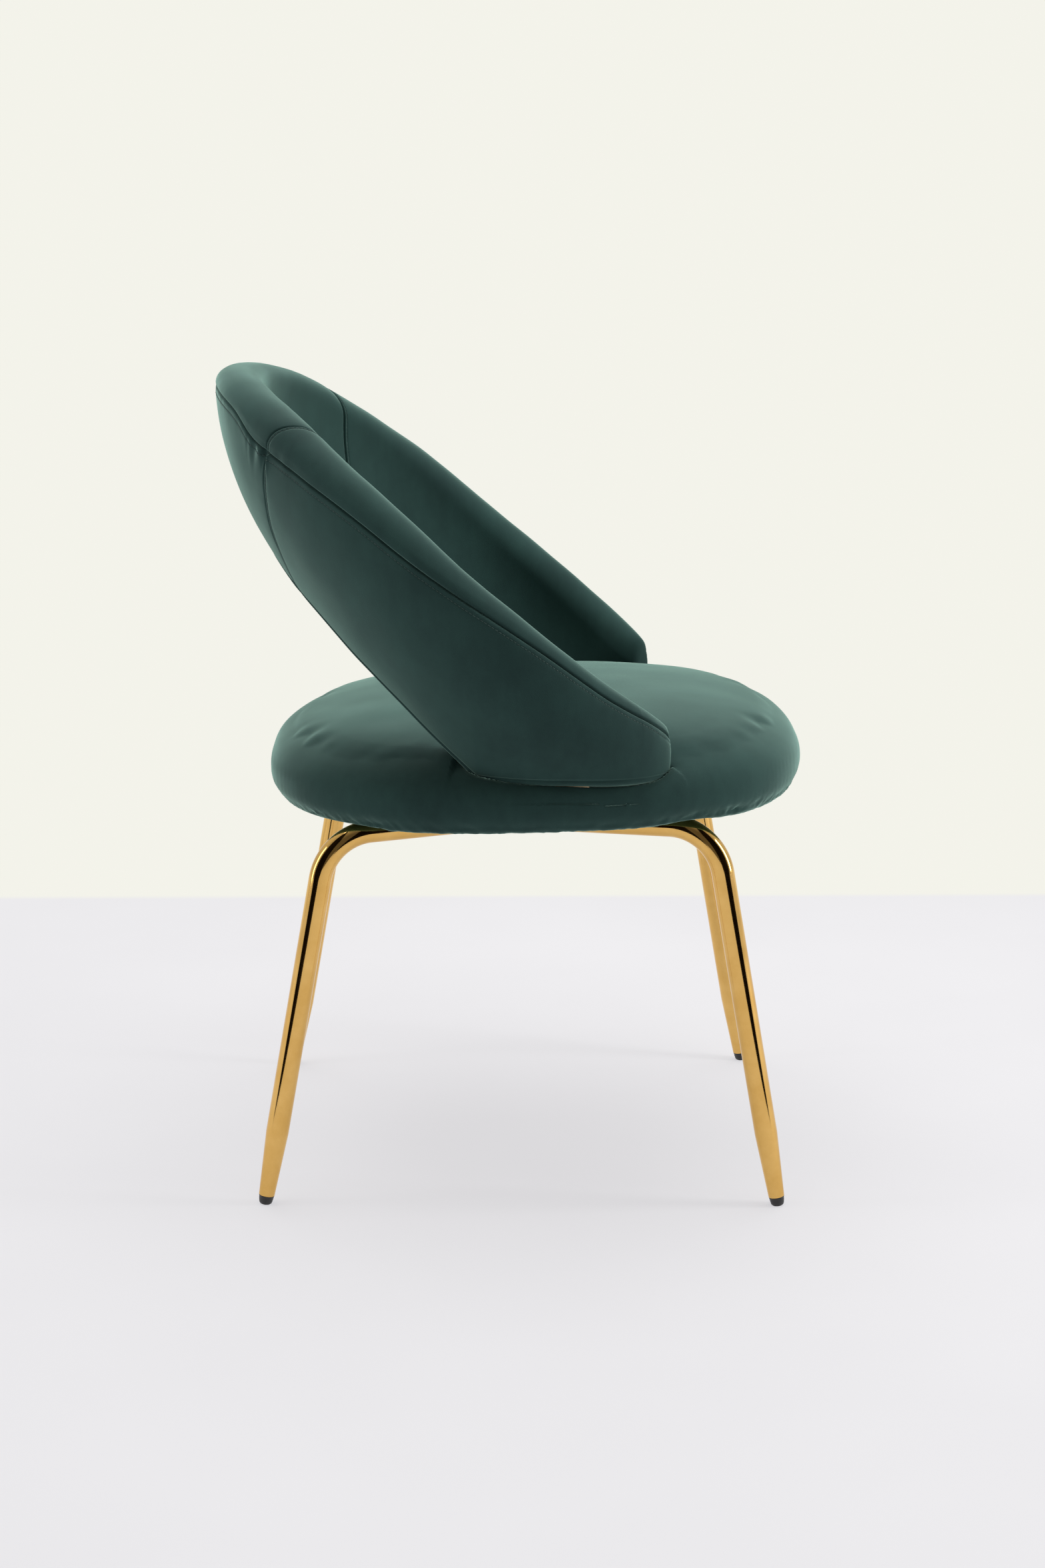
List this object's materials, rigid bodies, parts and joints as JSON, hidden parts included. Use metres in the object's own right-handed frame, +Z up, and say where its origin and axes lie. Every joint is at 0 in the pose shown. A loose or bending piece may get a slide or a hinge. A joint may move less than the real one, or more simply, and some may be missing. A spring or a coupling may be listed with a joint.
{
  "type": "upholstered dining chair",
  "caption": "Dining chair with a round velvet seat, an open wrap-round padded back and slim bent metal tube legs with dark foot caps.",
  "frame": {"origin": "on the floor under the middle of the chair's bounding box", "axes": "+Z up, -Y towards the front of the seat (the way the sitter faces), +X to the sitter's left"},
  "size_m": [0.584, 0.5798, 0.7942],
  "materials": {
    "velvet": "velvet, dark blue-green",
    "foam": "open-cell foam, hidden",
    "plywood": "unfinished plywood, hidden",
    "dust_cloth": "thin black non-woven cloth",
    "gold_tube": "mirror-polished gold plating on steel tube",
    "foot_cap": "moulded black plastic",
    "zinc_steel": "zinc-plated steel fastener"
  },
  "bodies": {
    "root": {"back_bolts": "zinc_steel", "back_bracket_left": "zinc_steel", "back_bracket_right": "zinc_steel", "back_cover_inner_centre": "velvet", "back_cover_inner_left": "velvet", "back_cover_inner_right": "velvet", "back_cover_outer_centre": "velvet", "back_cover_outer_left": "velvet", "back_cover_outer_right": "velvet", "back_foam": "foam", "back_shell": "plywood", "back_washers": "zinc_steel", "bracket_screws": "zinc_steel", "dust_cover": "dust_cloth", "foot_cap_front_left": "foot_cap", "foot_cap_front_right": "foot_cap", "foot_cap_rear_left": "foot_cap", "foot_cap_rear_right": "foot_cap", "leg_bolts": "zinc_steel", "leg_front_left": "gold_tube", "leg_front_right": "gold_tube", "leg_rear_left": "gold_tube", "leg_rear_right": "gold_tube", "leg_washers": "zinc_steel", "seat_board": "plywood", "seat_cover": "velvet", "seat_foam": "foam", "staples": "zinc_steel", "t_nuts": "zinc_steel"}
  },
  "joints": []
}
